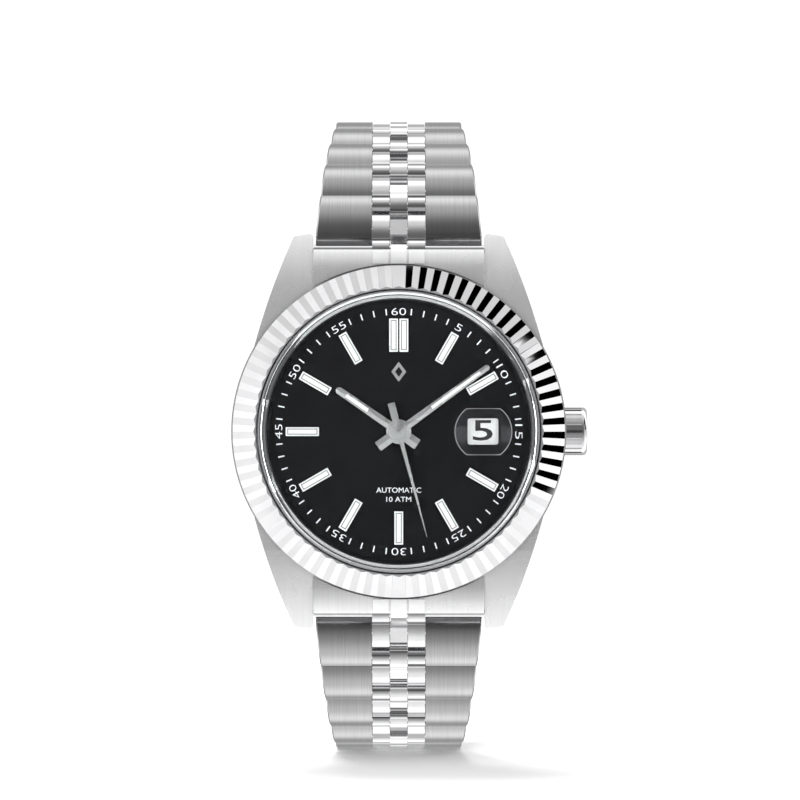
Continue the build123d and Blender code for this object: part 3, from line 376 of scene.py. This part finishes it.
sapphire = clear_sapphire("clear_sapphire", 1.17)
magnifier_sapphire = clear_sapphire("magnifier_sapphire", 1.26)


def studio_floor_finish():
    """Matt white paper with a faint mottle."""
    finish, nodes, links, shader = new_finish("studio_paper")
    cloud = grain(nodes, links, (12, 12, 12), 2.0)
    mottle = spread(nodes, links, cloud, 0, 1)
    colour = two_colours(nodes, links, mottle, (0.90, 0.90, 0.90), (0.93, 0.93, 0.93))
    links.new(colour, shader.inputs["Base Color"])
    shader.inputs["Roughness"].default_value = 0.9
    shader.inputs["Specular IOR Level"].default_value = 0.0
    return finish


# ---- Finishes of the pieces carried over from the CAD model ----

def paint(node, *finishes):
    """Give a CAD node its finishes; the first covers it until faces are given another."""
    mesh = nodes_of_cad[node].data
    mesh.materials.clear()
    for finish in finishes:
        mesh.materials.append(finish)


FINISH_OF = {
    "crystal_gasket": nylon_white, "dial_flange": mirror_steel,
    "dial": dial_black, "hour_markers": marker_steel, "dial_emblem": emblem_steel,
    "movement_ring": plated_movement, "case_back": polished_steel, "case_back_gasket": rubber_black,
    "crown_tube": polished_steel, "lug_spring_bars": polished_steel, "mainplate": plated_movement,
    "movement_bridge": plated_movement, "balance_cock": plated_movement, "date_plate": plated_movement,
    "movement_screws": polished_steel, "crown_seal": rubber_black, "crown": polished_steel,
    "winding_stem": polished_steel, "centre_wheel": gilt_brass, "minute_hand": hand_steel,
    "hour_hand": hand_steel, "fourth_wheel": gilt_brass, "seconds_hand": hand_steel,
    "third_wheel": gilt_brass, "barrel": gilt_brass, "escape_wheel": polished_steel,
    "balance_wheel": gilt_brass, "pallet_fork": polished_steel, "date_disc": date_white,
    "rotor": plated_movement, "clasp_cover": satin_steel, "clasp_outer_blade": polished_steel,
    "clasp_inner_blade": polished_steel, "safety_catch": polished_steel,
    "crystal": sapphire, "date_magnifier": sapphire,
}
for node, finish in FINISH_OF.items():
    paint(node, finish)


def two_finishes(node, main, other, on_other):
    """Finish a CAD node in one way, and the faces that pass a test in another."""
    paint(node, main, other)
    for face in nodes_of_cad[node].data.polygons:
        face.material_index = 1 if on_other(face) else 0


# A bracelet row's small middle links are this far from its centre line at most.
COLUMN_EDGE = 3.26 * MM
# The steep wall of the bezel's inner ring lies between two radii, and its normals point this far forward.
WALL_RADIUS_MIN = 17.1 * MM
WALL_RADIUS_MAX = 17.6 * MM
WALL_LEAN_MIN = 0.40
WALL_LEAN_MAX = 0.60
# A face of the case whose normal points no further forward or back than this is on its flank.
FLANK_LEAN_MAX = 0.7


def is_middle_link(face):
    """A face of a bracelet row's side links or middle link."""
    return abs(face.center.x) < COLUMN_EDGE


def is_ring_wall(face):
    """A face of the steep wall inside the flutes."""
    radius = hypot(face.center.x, face.center.z)
    lean = abs(face.normal.y)
    return WALL_RADIUS_MIN < radius < WALL_RADIUS_MAX and WALL_LEAN_MIN < lean < WALL_LEAN_MAX


def is_flank(face):
    """A face of the case's side."""
    return abs(face.normal.y) <= FLANK_LEAN_MAX


for node in nodes_of_cad:
    if "_link_" in node and not node.startswith("end"):
        two_finishes(node, satin_steel, polished_steel, is_middle_link)
for node in ("end_link_12", "end_link_6"):
    paint(node, frosted_steel)
# The steep ring wall inside the flutes gets the dark steel, a painted shade line.
two_finishes("fluted_bezel", mirror_steel, ring_wall_shade_steel, is_ring_wall)
two_finishes("case_middle", frosted_steel, polished_steel, is_flank)


# ---- Dial printing ----

def minute_track():
    """Printed ticks for the minutes that have no numeral."""
    ticks = []
    for minute in range(60):
        if minute % 5 == 0:
            continue
        face = dial_face + PRINT_THICKNESS
        ticks.append(dial_bar(TICK_LENGTH, TICK_WIDTH, dial_face, face, TRACK_RADIUS, 6 * minute))
    track = join("minute_track", ticks)
    return finish_piece(track, print_white, "case")


def minute_numerals():
    """Printed numerals at every fifth minute, their tops outwards."""
    numerals = []
    for minute in range(5, 65, 5):
        wide = 0.78 * MM if minute == 5 else 1.75 * MM
        numerals.append(lettering(
            str(minute), 0.86 * MM, wide, dial_face, TRACK_RADIUS, 6 * minute, weight=-0.01 * MM))
    return finish_piece(join("minute_numerals", numerals), print_white, "case")


minute_track()
minute_numerals()


def dial_lines():
    """Two plain lines of small print under the centre."""
    upper = lettering("AUTOMATIC", high=0.62 * MM, wide=5.4 * MM, height=dial_face, radius=-7.05 * MM)
    lower = lettering("10 ATM", high=0.60 * MM, wide=3.0 * MM, height=dial_face, radius=-8.15 * MM)
    return finish_piece(join("dial_lines", [upper, lower]), print_white, "case")


dial_lines()


# ---- Hour markers and their luminous bars ----

def marker_bars(name, length, width, back, face, finish, rounding):
    """One bar on each hour marker, and two at twelve; the date window takes three's place."""
    bars = []
    for hour in range(12):
        if hour == 3:
            continue
        offsets = (-TWIN_MARKER_OFFSET, TWIN_MARKER_OFFSET) if hour == 0 else (0,)
        for sideways in offsets:
            bar = dial_bar(length, width, back, face, MARKER_RADIUS, 30 * hour, sideways)
            bevel(bar, rounding)
            bars.append(bar)
    return finish_piece(join(name, bars), finish, "case")


frames = marker_bars(
    "marker_frames", length=4.0 * MM, width=1.06 * MM, back=dial_face, face=marker_top,
    finish=marker_steel, rounding=0.05 * MM)
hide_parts("hour_markers")
# A flat grey band on each marker between frame and lume, painted shade of the groove; it stands a hair proud
# of the frame's face.
marker_bars(
    "marker_groove_shade", length=3.64 * MM, width=0.74 * MM,
    back=marker_top - BAR_SINK, face=marker_top + 0.01 * MM,
    finish=painted_groove_shade, rounding=0.004 * MM)
marker_bars(
    "marker_lume", length=3.38 * MM, width=0.48 * MM,
    back=marker_top - BAR_SINK, face=marker_top + 0.05 * MM,
    finish=lume_white, rounding=0.03 * MM)


# ---- Hands ----

# The tail is at its full width at this share of its length.
TAIL_FLARE = 0.55
# The tip's chamfered point, as shares of the tip's width.
POINT_LENGTH = 0.35
POINT_WIDTH = 0.4


def faceted_hand(length, tail, base_width, tip_width, tail_width, back, face, ridge, angle):
    """A straight hand with a ridge along its middle, modelled pointing to twelve and then turned."""
    bpy.ops.mesh.primitive_cube_add(size=1, location=(0, -(back + face) / 2, (length - tail) / 2))
    blade = bpy.context.active_object
    blade.scale = (base_width, face - back, length + tail)
    bake_place(blade)
    pick(blade)
    tip_start = length - POINT_LENGTH * tip_width
    bpy.ops.object.mode_set(mode="EDIT")
    for level in (0.0, -TAIL_FLARE * tail, tip_start):
        bpy.ops.mesh.select_all(action="SELECT")
        bpy.ops.mesh.bisect(plane_co=(0, 0, level), plane_no=(0, 0, 1))
    bpy.ops.mesh.select_all(action="SELECT")
    bpy.ops.mesh.bisect(plane_co=(0, 0, 0), plane_no=(1, 0, 0))
    bpy.ops.object.mode_set(mode="OBJECT")
    for vertex in blade.data.vertices:
        place = vertex.co
        if place.z >= 0:
            along = min(place.z / tip_start, 1.0)
            side = base_width + (tip_width - base_width) * along
            if place.z > tip_start + SAME_PLACE:
                side = POINT_WIDTH * tip_width
        else:
            side = base_width + (tail_width - base_width) * min(-place.z / (TAIL_FLARE * tail), 1.0)
        on_ridge = abs(place.x) < SAME_PLACE and place.y < -(face - SAME_PLACE)
        place.x *= side / base_width
        if on_ridge:
            place.y -= ridge
    blade.rotation_euler = (0, radians(angle), 0)
    bake_place(blade)
    return blade


def upright_disc(radius, back, face, middle=0.0, vertices=64):
    """A round disc that faces forward, between two heights."""
    bpy.ops.mesh.primitive_cylinder_add(
        vertices=vertices, radius=radius, depth=face - back,
        location=(middle, -(back + face) / 2, 0), rotation=(pi / 2, 0, 0))
    disc = bpy.context.active_object
    bake_place(disc)
    return disc


def hub(radius, back, face, rounding):
    """A round hub on the dial's axis."""
    boss = upright_disc(radius, back, face)
    bevel(boss, rounding, 3)
    smooth(boss)
    return boss


def hand_lume(name, length, width, face, radius, angle):
    """The luminous bar on a hand."""
    lume = dial_bar(length, width, face, face + LUME_PROUD, radius, angle)
    bevel(lume, 0.03 * MM)
    lume.name = name
    return lume


def hour_hand():
    """The short hand, with its hub and its luminous bar."""
    blade = faceted_hand(
        length=9.1 * MM, tail=2.75 * MM, base_width=1.02 * MM, tip_width=0.86 * MM, tail_width=1.34 * MM,
        back=hour_hand_back, face=hour_hand_face, ridge=0.09 * MM, angle=HOUR_ANGLE)
    boss = hub(1.5 * MM, hour_hand_back, hour_hand_face + 0.1 * MM, 0.05 * MM)
    hand = join("hour_hand_faceted", [blade, boss])
    finish_piece(hand, hand_steel, "hour_train")
    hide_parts("hour_hand")
    lume = hand_lume("hour_hand_lume", 3.2 * MM, 0.44 * MM, hour_hand_face, 6.1 * MM, HOUR_ANGLE)
    finish_piece(lume, lume_white, "hour_train")


def minute_hand():
    """The long hand, with its hub and its luminous bar."""
    blade = faceted_hand(
        length=13.4 * MM, tail=3.1 * MM, base_width=0.98 * MM, tip_width=0.72 * MM, tail_width=1.24 * MM,
        back=minute_hand_back, face=minute_hand_face, ridge=0.09 * MM, angle=MINUTE_ANGLE)
    boss = hub(1.2 * MM, minute_hand_back, minute_hand_face + 0.1 * MM, 0.05 * MM)
    hand = join("minute_hand_faceted", [blade, boss])
    finish_piece(hand, hand_steel, "minute_train")
    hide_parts("minute_hand")
    lume = hand_lume("minute_hand_lume", 7.2 * MM, 0.36 * MM, minute_hand_face, 8.5 * MM, MINUTE_ANGLE)
    finish_piece(lume, lume_white, "minute_train")


def seconds_hand():
    """The thin hand, with its boss and the pin that holds it."""
    blade = faceted_hand(
        length=13.1 * MM, tail=3.55 * MM, base_width=0.55 * MM, tip_width=0.2 * MM, tail_width=0.87 * MM,
        back=seconds_hand_back, face=seconds_hand_face, ridge=0.03 * MM, angle=SECOND_ANGLE)
    boss = hub(0.72 * MM, seconds_hand_back, seconds_hand_face + 0.06 * MM, 0.04 * MM)
    pin = hub(0.24 * MM, seconds_hand_back, seconds_hand_face + 0.1 * MM, 0.03 * MM)
    hand = join("seconds_hand_faceted", [blade, boss, pin])
    finish_piece(hand, hand_steel, "seconds_train")
    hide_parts("seconds_hand")


hour_hand()
minute_hand()
seconds_hand()


# ---- Date numerals ----

DAYS = 31
SHOWN_DAY = 5
# The numerals are printed a little round from the middle of their places.
NUMERAL_LAG = 0.5


def date_numerals():
    """The thirty-one numerals of the date ring; the fifth stands in the window."""
    numerals = []
    step = 360 / DAYS
    for day in range(1, DAYS + 1):
        angle = (SHOWN_DAY - day) * step - NUMERAL_LAG
        wide = 1.62 * MM if day < 10 else 2.60 * MM
        turn = radians(angle)
        place = (DATE_WINDOW_X * cos(turn), -(date_disc_face + 0.01 * MM), -DATE_WINDOW_X * sin(turn))
        piece = lettering(str(day), 1.66 * MM, wide, 0, at=(0, 0, 0), weight=0.014 * MM)
        piece.rotation_euler = (0, turn, 0)
        piece.location = place
        bake_place(piece)
        numerals.append(piece)
    return finish_piece(join("date_numerals", numerals), print_black, "date")


date_numerals()


# ---- Crystal and magnifier in one piece ----

def boolean(piece, tool, operation):
    """Combine a piece with a tool, which is used up."""
    cut = piece.modifiers.new("Boolean", "BOOLEAN")
    cut.object = tool
    cut.operation = operation
    cut.solver = "EXACT"
    apply_modifiers(piece)
    bpy.data.objects.remove(tool, do_unlink=True)


def magnifier_outline(shrink, back, face):
    """A flat-sided disc with the magnifier's outline, smaller all round by a margin."""
    half_wide = (magnifier_high[0] - magnifier_low[0]) / 2 - shrink
    half_high = (magnifier_high[2] - magnifier_low[2]) / 2 - shrink
    plate = upright_disc(half_wide, back, face, magnifier_middle, 128)
    bpy.ops.mesh.primitive_cube_add(size=1, location=(magnifier_middle, -(back + face) / 2, 0))
    block = bpy.context.active_object
    block.scale = (4 * half_wide, 5 * MM, 2 * half_high)
    bake_place(block)
    boolean(plate, block, "INTERSECT")
    return plate


def crystal_with_magnifier():
    """The flat crystal with the date magnifier fused to its face."""
    pane = upright_disc(crystal_radius, crystal_back, crystal_face, vertices=160)
    bevel(pane, 0.35 * MM, 1)
    curve = 7.0 * MM
    bpy.ops.mesh.primitive_uv_sphere_add(
        segments=192, ring_count=128, radius=curve,
        location=(magnifier_middle, magnifier_low[1] + curve, 0), rotation=(pi / 2, 0, 0))
    dome = bpy.context.active_object
    bake_place(dome)
    rim = magnifier_outline(0, crystal_face - 0.8 * MM, crystal_face + 3.2 * MM)
    boolean(dome, rim, "INTERSECT")
    boolean(pane, dome, "UNION")
    smooth(pane, 20)
    pane.name = "crystal_with_magnifier"
    finish_piece(pane, sapphire, "case")
    pane.data.materials.append(magnifier_sapphire)
    for face in pane.data.polygons:
        face.material_index = 1 if -face.center.y > crystal_face + 0.02 * MM else 0
    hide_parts("crystal", "date_magnifier")


crystal_with_magnifier()


def magnifier_rim():
    """The ground edge round the magnifier's foot."""
    rim = magnifier_outline(-0.05 * MM, crystal_face - 0.15 * MM, crystal_face + 0.15 * MM)
    inside = magnifier_outline(0.04 * MM, crystal_face - 0.5 * MM, crystal_face + 0.5 * MM)
    boolean(rim, inside, "DIFFERENCE")
    rim.name = "magnifier_rim"
    finish_piece(rim, ground_edge, "case")


magnifier_rim()


# ---- Raised middle columns of the end links ----

def circle_through(first, second, third):
    """Centre and radius of the circle through three points."""
    (ax, ay), (bx, by), (cx, cy) = first, second, third
    twice = 2 * (ax * (by - cy) + bx * (cy - ay) + cx * (ay - by))
    a2, b2, c2 = ax * ax + ay * ay, bx * bx + by * by, cx * cx + cy * cy
    middle_x = (a2 * (by - cy) + b2 * (cy - ay) + c2 * (ay - by)) / twice
    middle_y = (a2 * (cx - bx) + b2 * (ax - cx) + c2 * (bx - ax)) / twice
    return (middle_x, middle_y), ((ax - middle_x) ** 2 + (ay - middle_y) ** 2) ** 0.5


# These sizes are in millimetres. The front of an end link falls along the arc through three points,
# each given as a distance from the dial's centre and a height. Start and reach are such distances too.
END_LINK_FALL = ((18.5, 7.5), (21.7, 6.35), (23.126, 3.95))
COLUMN_WIDTH = 1.9
COLUMN_PITCH = 2.18
COLUMN_PROUD = 0.2
COLUMN_START = 20.25
SIDE_REACH = 21.85
MIDDLE_REACH = 22.6
# The middle height and the depth of the block that trims a column's disc.
TRIM_HEIGHT = 6.4
TRIM_DEPTH = 3.4


def end_link_columns():
    """Three polished columns that stand proud of each end link's falling front."""
    (middle_z, middle_height), curve = circle_through(*END_LINK_FALL)
    columns = []
    for top in (1, -1):
        for middle, reach in ((-COLUMN_PITCH, SIDE_REACH), (0.0, MIDDLE_REACH), (COLUMN_PITCH, SIDE_REACH)):
            bpy.ops.mesh.primitive_cylinder_add(
                vertices=240, radius=(curve + COLUMN_PROUD) * MM, depth=COLUMN_WIDTH * MM,
                location=(middle * MM, -middle_height * MM, top * middle_z * MM), rotation=(0, pi / 2, 0))
            column = bpy.context.active_object
            bake_place(column)
            along = top * (COLUMN_START + reach) / 2 * MM
            bpy.ops.mesh.primitive_cube_add(size=1, location=(middle * MM, -TRIM_HEIGHT * MM, along))
            block = bpy.context.active_object
            block.scale = (4 * MM, TRIM_DEPTH * MM, (reach - COLUMN_START) * MM)
            bake_place(block)
            boolean(column, block, "INTERSECT")
            bevel(column, 0.10 * MM, 3)
            smooth(column, 30)
            columns.append(column)
    whole = join("end_link_columns", columns)
    finish_piece(whole, bright_steel, "case")


end_link_columns()


# ---- Floor, light and camera ----

bpy.ops.mesh.primitive_circle_add(
    vertices=96, radius=0.45, fill_type="NGON", location=(0, 0.08, floor_level - 0.02 * MM))
floor = bpy.context.active_object
floor.name = "studio_floor"
bake_place(floor)
floor.data.materials.append(studio_floor_finish())
floor.visible_glossy = False


# The flag hangs this far round from upright, towards the right.
FLAG_TURN = radians(57.5)
BACKDROP_GLOW = 1.1


def studio_world():
    """A white tent, dimmer in front, far behind and straight beside, with a black flag and a lens opening.

    Each direction is told by how far it points to the front, up and across, from -1 to 1."""
    world = bpy.data.worlds.new("studio_tent")
    bpy.context.scene.world = world
    world.use_nodes = True
    nodes, links = world.node_tree.nodes, world.node_tree.links
    background = nodes["Background"]

    def sum_up(kind, first, second=None):
        """One step of arithmetic on sockets or numbers."""
        node = nodes.new("ShaderNodeMath")
        node.operation = kind
        for place, value in enumerate((first, second)):
            if value is None:
                continue
            if isinstance(value, (int, float)):
                node.inputs[place].default_value = value
            else:
                links.new(value, node.inputs[place])
        return node.outputs[0]

    def ramp(value, start, end, low, high):
        """A soft step from one level to another."""
        node = nodes.new("ShaderNodeMapRange")
        node.interpolation_type = "SMOOTHSTEP"
        for name, number in (("From Min", start), ("From Max", end), ("To Min", low), ("To Max", high)):
            node.inputs[name].default_value = number
        links.new(value, node.inputs["Value"])
        return node.outputs["Result"]

    way = nodes.new("ShaderNodeTexCoord")
    split = nodes.new("ShaderNodeSeparateXYZ")
    links.new(way.outputs["Generated"], split.inputs[0])
    right, back, up = split.outputs
    front = sum_up("MULTIPLY", back, -1.0)
    tent = sum_up("SUBTRACT", ramp(front, -0.30, 0.30, 1.65, 0.80), ramp(front, 0.30, 1.00, 0.0, 0.65))
    tent = sum_up("SUBTRACT", tent, ramp(front, -0.30, -0.70, 0.0, 1.10))
    below = sum_up("MULTIPLY", ramp(up, 0.05, -0.55, 0.0, 0.25), ramp(front, -0.3, 0.3, 0.0, 1.0))
    across = sum_up("ABSOLUTE", right)
    sides = sum_up("MULTIPLY", ramp(across, 0.25, 0.75, 0.0, 0.28), ramp(front, -0.5, 0.1, 0.0, 1.0))
    sides = sum_up("SUBTRACT", sides, ramp(across, 0.92, 0.985, 0.0, 0.95))
    glow = sum_up("ADD", sum_up("ADD", tent, below), sides)
    level = sum_up("SQRT", sum_up("SUBTRACT", 1.0, sum_up("MULTIPLY", back, back)))
    lean = sum_up("ADD", sum_up("MULTIPLY", right, sin(FLAG_TURN)), sum_up("MULTIPLY", up, cos(FLAG_TURN)))
    lean = sum_up("DIVIDE", lean, sum_up("MAXIMUM", level, 0.001))
    flag = sum_up("MULTIPLY", ramp(lean, 0.885, 0.905, 0.0, 1.0), ramp(front, 0.16, 0.20, 0.0, 1.0))
    flag = sum_up("MULTIPLY", flag, ramp(front, 0.64, 0.68, 1.0, 0.0))
    lens = ramp(front, 0.990, 0.996, 0.0, 0.45)
    glow = sum_up("MULTIPLY", glow, sum_up("SUBTRACT", 1.0, flag))
    glow = sum_up("MULTIPLY", glow, sum_up("SUBTRACT", 1.0, lens))
    path = nodes.new("ShaderNodeLightPath")
    seen = nodes.new("ShaderNodeMix")
    links.new(path.outputs["Is Camera Ray"], seen.inputs["Factor"])
    links.new(glow, seen.inputs["A"])
    seen.inputs["B"].default_value = BACKDROP_GLOW
    links.new(seen.outputs["Result"], background.inputs["Strength"])
    background.inputs["Color"].default_value = (1, 1, 1, 1)


studio_world()


def soft_lamp(name, place, size, power):
    """A square softbox aimed at the middle of the watch and not mirrored in it."""
    bpy.ops.object.light_add(type="AREA", location=place)
    lamp = bpy.context.active_object
    lamp.name = name
    lamp.data.shape = "SQUARE"
    lamp.data.size = size
    lamp.data.energy = power
    lamp.rotation_euler = (-lamp.location).to_track_quat("-Z", "Y").to_euler()
    lamp.visible_glossy = False


soft_lamp("key_softbox", place=(-0.07, 0.34, 0.52), size=0.34, power=4.0)
soft_lamp("fill_left", place=(-0.38, -0.70, 0.02), size=0.30, power=2.6)
soft_lamp("fill_right", place=(0.38, -0.70, 0.02), size=0.30, power=2.3)

CAMERA_DISTANCE = 0.648
bpy.ops.object.camera_add(location=(0.15 * MM, -CAMERA_DISTANCE, 3.8 * MM), rotation=(pi / 2, 0, 0))
camera = bpy.context.active_object
camera.data.lens = 239
camera.data.sensor_width = 36
camera.data.clip_start = 0.01
camera.data.clip_end = 20
bpy.context.scene.camera = camera
bpy.context.scene.view_settings.view_transform = "Standard"
